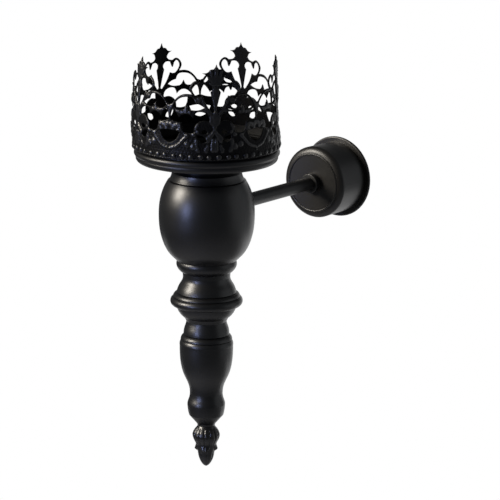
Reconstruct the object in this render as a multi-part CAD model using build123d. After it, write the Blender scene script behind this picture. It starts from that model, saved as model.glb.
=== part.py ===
from build123d import *
import math
import os

# A candle holder that hangs on a wall. A turned wooden spindle stands off the wall on a round steel
# arm. It carries a shallow metal pan with a pierced crown round it, and ends below in a cast finial.
# The arm screws into a plate on the wall, and a spun cup slides over that plate and hides it.
#
# Frame, in millimetres: +Z is up, the wall is the plane Y = 0, and the holder stands out towards -Y.
# The origin is the middle of the wall plate on the wall, which is also the axis of the arm.

# Arm
reach = 128.0              # wall to the axis of the spindle
rod_d = 8.0
rod_end_gap = 6.0          # the arm stops this far behind the spindle's axis
rod_chamfer = 0.8
slip = 0.05                # radial clearance of everything that slides or screws into a bore

# Wall plate, with the threaded boss that takes the arm
plate_r = 19.2
plate_t = 2.5
boss_r = 7.0
boss_l = 11.0
rod_setback = 1.0          # the arm's rear end stays this far off the wall
fixing_spacing = 24.0
fixing_hole_d = 4.5
nut_across_flats = 13.0
nut_t = 4.0

# Wall cup
cup_depth = 26.0
cup_wall = 1.5
cup_rim_r = 24.35
cup_rim_t = 1.9
cup_foot_r = 21.2
cup_body_r = 21.5
cup_shoulder_h = 3.4
cup_face_r = 17.3
cup_bead = 0.35
cup_hole_gap = 0.2         # round the arm

# Collar that clamps the cup against the wall
collar_r = 6.0
collar_t = 4.0
collar_edge = 0.6
grub_d = 2.5
grub_sink = 0.1

# Spindle, upwards from its widest line
bulb_mid_z = -1.0          # the widest line, from the arm's axis
bulb_r = 27.5
bulb_upper_r = 26.05
bulb_shoulder_r = 22.3
bulb_up_h = 19.6
neck_groove_h = 0.6
neck_groove_depth = 0.4
neck_lip_r = 21.4
neck_lip_mid_r = 20.45
neck_lip_top_r = 20.0
neck_lip_h = 4.2
cove_r = 17.6
cove_h = 5.2
seat_r = 19.0
seat_h = 1.3

# Spindle, downwards from its widest line
bulb_lower_r = 25.45
bulb_foot_r = 21.25
bulb_down_h = 27.4
foot_r = 16.95
foot_bead_r = 17.4
foot_h = 6.9
waist_r = 13.6
waist_h = 2.5
belly_r = 17.2
belly_h = 9.0
bead_groove_h = 0.3
bead_groove_depth = 0.5
small_bead_r = 19.3
small_bead_h = 2.2
large_bead_r = 20.85
large_bead_h = 5.3
large_bead_foot_r = 17.9
ovolo_r = 17.3
ovolo_h = 6.6
neck_r = 11.65
neck_h = 2.3
swell_r = 13.25
swell_h = 7.6
step_h = 0.5
step_r = 13.3
vase_lip_r = 14.9            # the line cut round the vase's shoulder, and how far below the step
vase_lip_h = 2.7
vase_groove_h = 0.5
vase_groove_depth = 0.4
vase_r = 15.45
vase_shoulder_h = 3.2
vase_mid_r = 13.1
vase_h = 28.7
stem_r = 9.5
flare_r = 10.95
flare_h = 6.7
flare_foot_r = 10.0
flare_foot_h = 6.3
cone_r = 5.35
cone_h = 5.4
tail_r = 5.0
tail_h = 1.2

# Finial, below the spindle
finial_neck_r = 5.0
tulip_r = 8.1
tulip_h = 11.4
finial_waist_r = 5.8
leaf_zone_h = 3.6
leaf_tip_r = 6.9
leaf_w = 3.4
leaf_t = 1.1
leaf_count = 4
leaf_turn = 30.4           # degrees, from the front towards +X
drop_r = 4.9
drop_h = 9.8
drop_tip_r = 1.6
stud_d = 4.0
stud_in_spindle = 13.0
stud_in_finial = 10.0

# Pan
pan_r = 41.2
pan_h = 13.5
pan_wall = 1.0
pan_floor = 1.0
pan_foot_in = 0.2          # how far the lower of the two rolls in its side lies inside the rim
pan_corner = 1.7           # how far the flat bottom ends inside that roll
pan_groove_in = 0.7        # how far the groove between the rolls lies inside the rim
pan_groove_h = 3.4         # its height above the bottom
pan_roll_out = 0.4         # how far the upper roll stands outside the rim
pan_neck_h = 7.2           # where the upper roll ends in a neck, above the bottom
pan_neck_in = 1.9          # how far the neck lies inside the rim
dimple_r = 6.5             # the sunk middle that hides the screw
dimple_depth = 3.6
dimple_gap = 0.1
pan_screw_d = 4.0
pan_screw_l = 19.0
pan_screw_head_r = 4.0
pan_screw_head_h = 2.2
pan_washer_r = 5.6
pan_washer_t = 1.0
screw_hole_gap = 0.2

# Crown
crown_t = 0.9
crown_h = 54.4             # foot to the tips of the points
crown_lap = 5.4            # how far the pan's wall stands up inside it
crown_points = 5
crown_turn = 43.9          # degrees of one point, from the front towards +X
pearls_per_point = 10
pearl_r = 1.3
pearl_proud = 0.7
pearl_v = 2.0              # height of the row above the crown's foot

# The crown's pattern is drawn once, for half of one point: u runs from the middle of the point to
# the middle of the valley beside it, v from the foot to the tip. It is stretched to the crown's size.
DRAWN_U = 26.45
DRAWN_V = 54.4

# The upper edge, from the tip down to the valley, as runs that meet in corners
EDGE_RUNS = [
    [(0.0, 54.4), (0.7, 52.6), (1.7, 51.4)],
    [(1.7, 51.4), (2.8, 51.4), (3.8, 50.9)],
    [(3.8, 50.9), (4.6, 49.9), (8.0, 49.2)],
    [(8.0, 49.2), (5.4, 47.8), (4.5, 45.9)],
    [(4.5, 45.9), (5.5, 44.7), (8.7, 43.8)],
    [(8.7, 43.8), (11.0, 44.9), (13.6, 43.5), (14.9, 40.6), (13.4, 37.3)],
    [(13.4, 37.3), (18.5, 37.1), (22.4, 34.7), (24.8, 31.8)],
    [(24.8, 31.8), (26.45, 31.2)],
]

# The openings on one side of a point
SCROLL_EYE = [
    [(7.0, 42.8), (4.7, 43.2), (2.7, 42.2), (2.0, 40.5), (3.0, 38.6)],
    [(3.0, 38.6), (2.1, 35.0), (0.7, 28.3)],
    [(0.7, 28.3), (1.3, 27.3), (2.3, 27.9)],
    [(2.3, 27.9), (5.3, 32.2), (7.2, 36.7)],
    [(7.2, 36.7), (10.0, 36.0), (12.7, 38.5), (13.2, 41.6), (11.3, 43.5), (9.8, 42.3)],
    [(9.8, 42.3), (8.9, 39.6), (7.0, 42.8)],
]
CRESCENT = [
    [(6.0, 29.9), (9.0, 31.7), (11.4, 32.3)],
    [(11.4, 32.3), (12.9, 35.2), (16.2, 35.8), (20.2, 34.8), (22.8, 32.4), (24.2, 30.2)],
    [(24.2, 30.2), (22.4, 28.9), (19.0, 28.5)],
    [(19.0, 28.5), (17.3, 29.6), (16.4, 31.5), (15.3, 29.7), (13.9, 28.5)],
    [(13.9, 28.5), (9.0, 28.6), (6.0, 29.9)],
]
LATTICE = [
    [(3.1, 22.2), (6.0, 22.7), (9.0, 21.9), (11.4, 19.4), (11.9, 15.9)],
    [(11.9, 15.9), (14.7, 15.4), (17.6, 15.9)],
    [(17.6, 15.9), (18.7, 18.7), (18.9, 21.4)],
    [(18.9, 21.4), (22.6, 21.6), (25.9, 22.6)],
    [(25.9, 22.6), (25.6, 25.4), (24.2, 28.2), (22.6, 26.9), (20.6, 23.9)],
    [(20.6, 23.9), (18.3, 25.7), (15.2, 26.0), (12.1, 23.7)],
    [(12.1, 23.7), (10.5, 27.0), (7.0, 27.4), (3.7, 25.3), (3.1, 22.2)],
]
LEAF_EYE = [
    [(4.0, 16.6), (5.3, 17.4), (6.9, 17.0), (7.8, 16.2)],
    [(7.8, 16.2), (6.4, 15.2), (4.9, 15.2)],
    [(4.9, 15.2), (4.2, 15.8), (4.0, 16.6)],
]
HUSK = [
    [(4.6, 10.9), (5.2, 12.6), (6.8, 13.9), (9.9, 14.4)],
    [(9.9, 14.4), (9.2, 11.9), (7.0, 10.2), (4.6, 10.9)],
]
# The opening over a swag lies across the valley, so it is drawn whole, with u from the valley
SWAG_EYE = [
    [(-6.3, 15.9), (0.0, 16.7), (6.3, 15.9)],
    [(6.3, 15.9), (4.4, 12.1), (0.0, 9.7), (-4.4, 12.1), (-6.3, 15.9)],
]

# Sizes worked out from those above
pan_foot_r = pan_r - pan_foot_in
pan_groove_r = pan_r - pan_groove_in
pan_roll_r = pan_r + pan_roll_out
rod_r = rod_d / 2
pan_z = bulb_mid_z + bulb_up_h + neck_groove_h + neck_lip_h + cove_h + seat_h
foot_z = bulb_mid_z - bulb_down_h
crown_r = pan_r + crown_t
crown_z = pan_z + pan_h - crown_lap
panel_angle = 360 / crown_points
drop_heights = [foot_h, waist_h, belly_h, bead_groove_h, small_bead_h, bead_groove_h, large_bead_h,
                bead_groove_h, ovolo_h, neck_h, swell_h, step_h, vase_lip_h,
                vase_groove_h, vase_shoulder_h, vase_h, flare_h,
                flare_foot_h, cone_h, tail_h]
tail_z = foot_z - sum(drop_heights)


def turned(edges):
    """A solid of revolution about Z from edges drawn in the plane of X and Z."""
    return revolve(make_face(Plane.XZ * Wire(edges)), Axis.Z)


def on_spindle(shape):
    return Pos(0, -reach, 0) * shape


def towards_wall(shape):
    """Turns a shape made along +Z from Z = 0 so that it runs from the wall along -Y."""
    return Rot(90, 0, 0) * shape


def rod_bore(clearance):
    return towards_wall(Cylinder(rod_r + clearance, 2 * reach))


class Outline:
    """A chain of lines and curves in the plane of radius and height, drawn downwards."""

    def __init__(self, r, z):
        self.r = r
        self.z = z
        self.edges = []

    def line(self, r, drop=0.0):
        self.edges.append(Line((self.r, self.z), (r, self.z - drop)))
        self.r = r
        self.z = self.z - drop

    def curve(self, r, drop, *between, start=None, end=None):
        """A smooth curve through points given as a radius and a share of the drop."""
        points = [(self.r, self.z)]
        for mid_r, share in between:
            points.append((mid_r, self.z - drop * share))
        points.append((r, self.z - drop))
        tangents = [start, end] if start and end else None
        self.edges.append(Spline(*points, tangents=tangents) if tangents else Spline(*points))
        self.r = r
        self.z = self.z - drop

    def arc(self, r, drop, mid_r, share=0.5):
        middle = (mid_r, self.z - drop * share)
        self.edges.append(ThreePointArc((self.r, self.z), middle, (r, self.z - drop)))
        self.r = r
        self.z = self.z - drop

    def solid(self, top_z):
        """Closes the chain along the axis and turns it."""
        self.line(0.0)
        self.edges.append(Line((0, self.z), (0, top_z)))
        first = self.edges[0] @ 0
        self.edges.append(Line((0, top_z), (first.X, top_z)))
        return turned(self.edges)


def make_spindle():
    outline = Outline(seat_r, pan_z)
    outline.line(seat_r, seat_h)
    outline.arc(neck_lip_top_r, cove_h, cove_r)
    outline.arc(neck_lip_r, neck_lip_h, neck_lip_mid_r)
    outline.line(neck_lip_r - neck_groove_depth, neck_groove_h / 2)
    outline.line(bulb_shoulder_r, neck_groove_h / 2)
    outline.curve(bulb_r, bulb_up_h, (bulb_upper_r, 0.42), start=(0.55, -0.84), end=(0, -1))
    outline.curve(foot_r, bulb_down_h, (bulb_lower_r, 0.545), (bulb_foot_r, 0.84),
                  start=(0, -1), end=(-0.66, -0.75))
    outline.curve(waist_r + 0.2, foot_h, (foot_bead_r, 0.28), (foot_r - 0.7, 0.7))
    outline.curve(waist_r, waist_h)
    outline.curve(belly_r, belly_h, ((waist_r + belly_r) / 2, 0.5), start=(0, -1), end=(0.2, -1))
    outline.line(belly_r - bead_groove_depth, bead_groove_h / 2)
    outline.line(belly_r, bead_groove_h / 2)
    outline.arc(small_bead_r, small_bead_h, (belly_r + small_bead_r) / 2 + 0.6)
    outline.line(small_bead_r - bead_groove_depth, bead_groove_h / 2)
    outline.line(small_bead_r, bead_groove_h / 2)
    outline.arc(large_bead_foot_r, large_bead_h, large_bead_r, 0.42)
    outline.line(ovolo_r - bead_groove_depth, bead_groove_h / 2)
    outline.line(ovolo_r, bead_groove_h / 2)
    outline.arc(neck_r + 1.2, ovolo_h, (ovolo_r + neck_r) / 2 + 1.5)
    outline.curve(neck_r, neck_h)
    outline.curve(swell_r, swell_h, ((neck_r + swell_r) / 2, 0.42), start=(0, -1), end=(0, -1))
    outline.line(swell_r - bead_groove_depth, step_h / 2)
    outline.line(step_r, step_h / 2)
    outline.arc(vase_lip_r, vase_lip_h, (step_r + vase_lip_r) / 2 + 0.35, 0.42)
    outline.line(vase_lip_r - vase_groove_depth, vase_groove_h / 2)
    outline.line(vase_lip_r - 0.1, vase_groove_h / 2)
    outline.arc(vase_r, vase_shoulder_h, (vase_lip_r + vase_r) / 2 + 0.2, 0.4)
    outline.curve(stem_r, vase_h, (vase_mid_r, 0.6), start=(0, -1), end=(0, -1))
    outline.curve(flare_r, flare_h, ((stem_r + flare_r) / 2, 0.56), start=(0, -1), end=(0, -1))
    outline.arc(flare_foot_r, flare_foot_h, (flare_r + flare_foot_r) / 2 + 0.2)
    outline.line(cone_r, cone_h)
    outline.line(tail_r, tail_h)
    body = outline.solid(pan_z)

    body -= Pos(0, 0, pan_z) * Cylinder(
        dimple_r + pan_wall + dimple_gap, 2 * (dimple_depth + dimple_gap))
    screw_top = pan_z + pan_floor - dimple_depth
    screw_depth = pan_screw_l + 1.0
    body -= Pos(0, 0, screw_top - screw_depth / 2) * Cylinder(pan_screw_d / 2 + slip, screw_depth)
    stud_depth = stud_in_spindle + 1.0
    body -= Pos(0, 0, tail_z + stud_depth / 2) * Cylinder(stud_d / 2 + slip, stud_depth)
    bore_l = bulb_r
    bore = Rot(90, 0, 0) * Cylinder(rod_r + slip, bore_l)
    body -= Pos(0, rod_end_gap + bore_l / 2 - 0.3, 0) * bore
    return on_spindle(body)


def make_arm_rod():
    length = reach - rod_end_gap - rod_setback
    rod = Pos(0, 0, rod_setback + length / 2) * Cylinder(rod_r, length)
    rod = chamfer(rod.edges(), rod_chamfer)
    return towards_wall(rod)


def make_wall_plate():
    plate = Pos(0, 0, plate_t / 2) * Cylinder(plate_r, plate_t)
    plate += Pos(0, 0, plate_t + boss_l / 2) * Cylinder(boss_r, boss_l)
    plate -= Cylinder(rod_r + slip, 4 * (plate_t + boss_l))
    for side in (-1, 1):
        plate -= Pos(side * fixing_spacing / 2, 0, 0) * Cylinder(fixing_hole_d / 2, 4 * plate_t)
    return towards_wall(plate)


def make_lock_nut():
    hexagon = RegularPolygon(nut_across_flats / 2, 6, major_radius=False)
    nut = extrude(Pos(0, 0, plate_t + boss_l) * hexagon, nut_t)
    nut -= Pos(0, 0, plate_t + boss_l) * Cylinder(rod_r + slip, 4 * nut_t)
    return towards_wall(nut)


def make_wall_cup():
    shoulder_z = cup_depth - cup_shoulder_h
    outer = [
        Line((cup_foot_r - cup_wall, 0), (cup_rim_r - cup_rim_t / 2, 0)),
        ThreePointArc((cup_rim_r - cup_rim_t / 2, 0), (cup_rim_r, cup_rim_t / 2),
                      (cup_rim_r - cup_rim_t / 2, cup_rim_t)),
        Line((cup_rim_r - cup_rim_t / 2, cup_rim_t), (cup_foot_r, cup_rim_t)),
        Line((cup_foot_r, cup_rim_t), (cup_body_r, shoulder_z)),
        EllipticalCenterArc((cup_face_r, shoulder_z), cup_body_r - cup_face_r, cup_shoulder_h),
        Line((cup_face_r, cup_depth), (rod_r + cup_hole_gap, cup_depth)),
        Line((rod_r + cup_hole_gap, cup_depth), (rod_r + cup_hole_gap, cup_depth - cup_wall)),
        Line((rod_r + cup_hole_gap, cup_depth - cup_wall), (cup_face_r, cup_depth - cup_wall)),
        Line((cup_face_r, cup_depth - cup_wall), (cup_body_r - cup_wall, shoulder_z)),
        Line((cup_body_r - cup_wall, shoulder_z), (cup_foot_r - cup_wall, 0)),
    ]
    cup = turned(outer)
    bead = Pos(0, 0, cup_depth - cup_bead / 2) * Torus(cup_face_r, 2 * cup_bead)
    return towards_wall(cup + bead)


def grub_hole(radius, start, length):
    """A cylinder under the arm, from a distance below its axis downwards."""
    middle = Pos(0, 0, cup_depth + collar_t / 2)
    pin = Rot(90, 0, 0) * Cylinder(radius, length)
    return towards_wall(middle * Pos(0, -start - length / 2, 0) * pin)


def make_rod_collar():
    collar = Pos(0, 0, cup_depth + collar_t / 2) * Cylinder(collar_r, collar_t)
    rims = collar.edges().filter_by(GeomType.CIRCLE)
    collar = fillet(rims.sort_by(Axis.Z)[-1:], collar_edge)
    collar -= Cylinder(rod_r + slip, 4 * cup_depth)
    return towards_wall(collar) - grub_hole(grub_d / 2, 0, 2 * collar_r)


def make_collar_screw():
    length = collar_r - rod_r - slip - grub_sink
    return grub_hole(grub_d / 2 - 0.02, rod_r + 0.02, length)


def pan_outline(inset, bottom_z, ledge_z):
    """The pan's side as a closed face: two rolls with a groove between them, a neck and an upright rim."""
    top_z = pan_z + pan_h
    rim_r = pan_r - inset
    neck = (rim_r - pan_neck_in, pan_z + pan_neck_h)
    groove = (pan_groove_r - inset, pan_z + pan_groove_h)
    corner = (pan_foot_r - pan_corner, bottom_z)
    foot_roll = (pan_foot_r - inset, (bottom_z + groove[1]) / 2)
    upper_roll = (pan_roll_r - inset, (groove[1] + neck[1]) / 2)
    edges = [
        Line((0, bottom_z), corner),
        ThreePointArc(corner, foot_roll, groove),
        ThreePointArc(groove, upper_roll, neck),
        Line(neck, (neck[0], ledge_z)),
        Line((neck[0], ledge_z), (rim_r, ledge_z)),
        Line((rim_r, ledge_z), (rim_r, top_z)),
        Line((rim_r, top_z), (0, top_z)),
        Line((0, top_z), (0, bottom_z)),
    ]
    return turned(edges)


def make_pan():
    outer = pan_outline(0, pan_z, crown_z)
    hollow = pan_outline(pan_wall, pan_z + pan_floor, crown_z + pan_wall)
    sunk = Pos(0, 0, pan_z - dimple_depth / 2) * Cylinder(dimple_r + pan_wall, dimple_depth)
    well_h = dimple_depth
    well = Pos(0, 0, pan_z + pan_floor - well_h / 2) * Cylinder(dimple_r, well_h)
    hole = Pos(0, 0, pan_z) * Cylinder(pan_screw_d / 2 + screw_hole_gap, 4 * dimple_depth)
    return on_spindle(outer - hollow + sunk - well - hole)


def make_pan_washer():
    z = pan_z + pan_floor - dimple_depth
    washer = Pos(0, 0, z + pan_washer_t / 2) * Cylinder(pan_washer_r, pan_washer_t)
    washer -= Pos(0, 0, z) * Cylinder(pan_screw_d / 2 + screw_hole_gap, 4 * pan_washer_t)
    return on_spindle(washer)


def make_pan_screw():
    z = pan_z + pan_floor - dimple_depth + pan_washer_t
    head = Pos(0, 0, z + pan_screw_head_h / 2) * Cylinder(pan_screw_head_r, pan_screw_head_h)
    top = head.edges().filter_by(GeomType.CIRCLE).sort_by(Axis.Z)[-1]
    head = fillet([top], 0.6 * pan_screw_head_h)
    slot_w = 0.9
    slot_h = 0.5 * pan_screw_head_h
    slot = Pos(0, 0, z + pan_screw_head_h) * Box(2 * pan_screw_head_r, slot_w, 2 * slot_h)
    shank = Pos(0, 0, z - pan_screw_l / 2) * Cylinder(pan_screw_d / 2, pan_screw_l)
    return on_spindle(head - slot + shank)


def drawn(u, v):
    """A drawn point, on the plane that faces one point of the crown."""
    arc = u / DRAWN_U * math.radians(panel_angle / 2)
    return (crown_r * math.sin(arc), crown_z + v / DRAWN_V * crown_h)


def drawn_edges(runs):
    edges = []
    for run in runs:
        points = [drawn(u, v) for u, v in run]
        edges.append(Line(*points) if len(points) == 2 else Spline(*points))
    return edges


def mirrored(runs):
    return [[(-u, v) for u, v in run] for run in runs]


def shifted(runs, offset):
    return [[(u + offset, v) for u, v in run] for run in runs]


def drawn_face(runs):
    return make_face(Plane.XZ * Wire(drawn_edges(runs)))


def drawn_panel():
    """One point of the crown, flat, and drawn a little past the valleys on its two sides."""
    valley_v = EDGE_RUNS[-1][-1][1]
    side_u = 1.03 * DRAWN_U
    edge = EDGE_RUNS + [[(DRAWN_U, valley_v), (side_u, valley_v)]]
    foot = [[(-side_u, valley_v), (-side_u, 0.0)], [(-side_u, 0.0), (side_u, 0.0)],
            [(side_u, 0.0), (side_u, valley_v)]]
    panel = drawn_face(edge + foot + mirrored(edge))
    for runs in (SCROLL_EYE, CRESCENT, LATTICE, LEAF_EYE, HUSK):
        panel -= drawn_face(runs)
        panel -= drawn_face(mirrored(runs))
    for side in (-1, 1):
        panel -= drawn_face(shifted(SWAG_EYE, side * DRAWN_U))
    return panel


def crown_sector():
    """The round wall of one point: the flat drawing pushed through it, with its row of pearls."""
    middle = crown_z + crown_h / 2
    strip = Rot(90, 0, 0) * Rectangle(crown_t, 1.1 * crown_h)
    strip = Pos(pan_r + crown_t / 2, 0, middle) * strip
    wall = Rot(0, 0, -90 - panel_angle / 2) * revolve(strip, Axis.Z, panel_angle)
    prism = extrude(Pos(0, -0.6 * crown_r, 0) * drawn_panel(), 0.5 * crown_r, dir=(0, -1, 0))
    sector = wall & prism
    pearl = Pos(0, -(crown_r + pearl_proud - pearl_r), crown_z + pearl_v) * Sphere(pearl_r)
    pearl -= Pos(0, 0, crown_z) * Cylinder(pan_r + crown_t / 2, 8 * pearl_r)
    step = panel_angle / pearls_per_point
    for i in range(pearls_per_point):
        sector += Rot(0, 0, (i + 0.5) * step - panel_angle / 2) * pearl
    return sector


def make_crown():
    sector = crown_sector()
    sectors = [Rot(0, 0, crown_turn + i * panel_angle) * sector for i in range(crown_points)]
    crown = sectors[0] + sectors[1:]
    return on_spindle(crown.fix())


def make_finial():
    outline = Outline(finial_neck_r, tail_z)
    outline.curve(finial_waist_r, tulip_h, (tulip_r, 0.48), (tulip_r - 0.5, 0.68))
    outline.curve(drop_r, leaf_zone_h)
    outline.curve(drop_tip_r, drop_h, (drop_r * 0.72, 0.55), (drop_r * 0.45, 0.85))
    body = outline.solid(tail_z)
    leaf_top = tail_z - tulip_h + 1.0
    leaf = [
        Line((drop_r - 1.5, leaf_top), (finial_waist_r - 0.2, leaf_top)),
        ThreePointArc((finial_waist_r - 0.2, leaf_top), (finial_waist_r + 0.2, leaf_top - 2.2),
                      (leaf_tip_r, leaf_top - 3.0)),
        ThreePointArc((leaf_tip_r, leaf_top - 3.0), (leaf_tip_r - 0.3, leaf_top - 3.0 - leaf_t),
                      (leaf_tip_r - 1.0, leaf_top - 3.1 - leaf_t)),
        Line((leaf_tip_r - 1.0, leaf_top - 3.1 - leaf_t), (drop_r - 1.5, leaf_top - 3.6)),
        Line((drop_r - 1.5, leaf_top - 3.6), (drop_r - 1.5, leaf_top)),
    ]
    blade = extrude(make_face(Plane.XZ * Wire(leaf)), leaf_w / 2, both=True)
    for i in range(leaf_count):
        body += Rot(0, 0, leaf_turn - 90 + i * 360 / leaf_count) * blade
    stud_hole = stud_in_finial + 0.5
    body -= Pos(0, 0, tail_z - stud_hole / 2) * Cylinder(stud_d / 2 + slip, stud_hole)
    return on_spindle(body)


def make_finial_stud():
    length = stud_in_spindle + stud_in_finial
    middle = tail_z + (stud_in_spindle - stud_in_finial) / 2
    return on_spindle(Pos(0, 0, middle) * Cylinder(stud_d / 2, length))


PARTS = {
    "wall_plate": make_wall_plate,
    "lock_nut": make_lock_nut,
    "wall_cup": make_wall_cup,
    "rod_collar": make_rod_collar,
    "collar_screw": make_collar_screw,
    "arm_rod": make_arm_rod,
    "spindle": make_spindle,
    "candle_pan": make_pan,
    "filigree_crown": make_crown,
    "pan_washer": make_pan_washer,
    "pan_screw": make_pan_screw,
    "finial": make_finial,
    "finial_stud": make_finial_stud,
}

os.makedirs("parts", exist_ok=True)
for name, make in PARTS.items():
    export_step(make(), "parts/" + name + ".step")
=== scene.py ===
import math

import bmesh
import bpy
import numpy as np
from mathutils import Matrix, Vector
from mathutils.geometry import delaunay_2d_cdt


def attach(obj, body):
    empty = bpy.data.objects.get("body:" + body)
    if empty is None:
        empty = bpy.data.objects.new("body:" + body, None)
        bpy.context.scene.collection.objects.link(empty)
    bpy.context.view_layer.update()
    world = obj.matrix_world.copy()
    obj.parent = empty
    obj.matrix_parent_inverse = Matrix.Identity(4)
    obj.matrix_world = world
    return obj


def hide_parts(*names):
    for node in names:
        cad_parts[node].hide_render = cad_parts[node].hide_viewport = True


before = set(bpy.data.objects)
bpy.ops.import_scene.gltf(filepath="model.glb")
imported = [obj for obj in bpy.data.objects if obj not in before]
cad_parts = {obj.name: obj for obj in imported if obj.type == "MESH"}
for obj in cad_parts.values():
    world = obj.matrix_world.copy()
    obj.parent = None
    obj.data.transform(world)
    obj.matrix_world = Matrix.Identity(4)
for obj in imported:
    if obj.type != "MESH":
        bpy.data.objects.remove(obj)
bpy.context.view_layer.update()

# Lengths in this script are millimetres, and MM turns them into metres at the last moment.
MM = 0.001
SPINDLE_Y = -128.0

# Crown: radii of the sheet, its height above the rod, and how far its front is rounded off
CROWN_BACK_R = 41.2
CROWN_EDGE_R = 41.6
CROWN_MAX_R = 42.78
CROWN_Z = 38.0
CROWN_UNROLL_R = 42.1
CROWN_POINTS = 5
CROWN_TURN = math.radians(43.9)
PAN_RIM_V = 5.4
HALF_W = 26.45
CROWN_H = 54.4
VALLEY_V = 31.2
SWAG_TOP_V = 16.7
SWAG_LOW_V = 9.7
EYE_TRIM = 0.1
GRID = 0.36
GRID_CLEAR = 0.42
ROUND_W = 0.75
ROUND_H = 0.3
SWELL_W = 1.6
SWELL_CURVE = 1.1
SOFT_BACK = 0.22
GRAIN_H = 0.13
CALM_W = 0.5
RIDGE_STEP = 0.4
# Relief above which the crown's faces take the lighter, glossier crest black, partly thinner paint on the
# raised work and partly painted highlight; the faces below it take a darker black as painted shade in the
# recesses
CREST_FROM = 0.5

# The crown's pattern for half of one point: u from the middle of the point to the valley beside it,
# v from the foot to the tip. Two points make a line, more make a smooth curve through them.
EDGE_RUNS = [
    [(0.0, 54.4), (0.7, 52.6), (1.7, 51.4)],
    [(1.7, 51.4), (2.8, 51.4), (3.8, 50.9)],
    [(3.8, 50.9), (4.6, 49.9), (8.0, 49.2)],
    [(8.0, 49.2), (5.4, 47.8), (4.5, 45.9)],
    [(4.5, 45.9), (5.5, 44.7), (8.7, 43.8)],
    [(8.7, 43.8), (11.0, 44.9), (13.6, 43.5), (14.9, 40.6), (13.4, 37.3)],
    [(13.4, 37.3), (18.5, 37.1), (22.4, 34.7), (24.8, 31.8)],
    [(24.8, 31.8), (26.45, 31.2)],
]
SCROLL_EYE = [
    [(7.0, 42.8), (4.7, 43.2), (2.7, 42.2), (2.0, 40.5), (3.0, 38.6)],
    [(3.0, 38.6), (2.1, 35.0), (0.7, 28.3)],
    [(0.7, 28.3), (1.3, 27.3), (2.3, 27.9)],
    [(2.3, 27.9), (5.3, 32.2), (7.2, 36.7)],
    [(7.2, 36.7), (10.0, 36.0), (12.7, 38.5), (13.2, 41.6), (11.3, 43.5), (9.8, 42.3)],
    [(9.8, 42.3), (8.9, 39.6), (7.0, 42.8)],
]
CRESCENT = [
    [(6.0, 29.9), (9.0, 31.7), (11.4, 32.3)],
    [(11.4, 32.3), (12.9, 35.2), (16.2, 35.8), (20.2, 34.8), (22.8, 32.4), (24.2, 30.2)],
    [(24.2, 30.2), (22.4, 28.9), (19.0, 28.5)],
    [(19.0, 28.5), (17.3, 29.6), (16.4, 31.5), (15.3, 29.7), (13.9, 28.5)],
    [(13.9, 28.5), (9.0, 28.6), (6.0, 29.9)],
]
LATTICE = [
    [(3.1, 22.2), (6.0, 22.7), (9.0, 21.9), (11.4, 19.4), (11.9, 15.9)],
    [(11.9, 15.9), (14.7, 15.4), (17.6, 15.9)],
    [(17.6, 15.9), (18.7, 18.7), (18.9, 21.4)],
    [(18.9, 21.4), (22.6, 21.6), (25.9, 22.6)],
    [(25.9, 22.6), (25.6, 25.4), (24.2, 28.2), (22.6, 26.9), (20.6, 23.9)],
    [(20.6, 23.9), (18.3, 25.7), (15.2, 26.0), (12.1, 23.7)],
    [(12.1, 23.7), (10.5, 27.0), (7.0, 27.4), (3.7, 25.3), (3.1, 22.2)],
]
LEAF_EYE = [
    [(4.0, 16.6), (5.3, 17.4), (6.9, 17.0), (7.8, 16.2)],
    [(7.8, 16.2), (6.4, 15.2), (4.9, 15.2)],
    [(4.9, 15.2), (4.2, 15.8), (4.0, 16.6)],
]
HUSK = [
    [(4.6, 10.9), (5.2, 12.6), (6.8, 13.9), (9.9, 14.4)],
    [(9.9, 14.4), (9.2, 11.9), (7.0, 10.2), (4.6, 10.9)],
]
OPENINGS = [SCROLL_EYE, CRESCENT, LATTICE, LEAF_EYE, HUSK]
SWAG_TOP = [(-6.3, 15.9), (0.0, 16.7), (6.3, 15.9)]
SWAG_BOTTOM = [(6.3, 15.9), (4.4, 12.1), (0.0, 9.7), (-4.4, 12.1), (-6.3, 15.9)]

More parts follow.
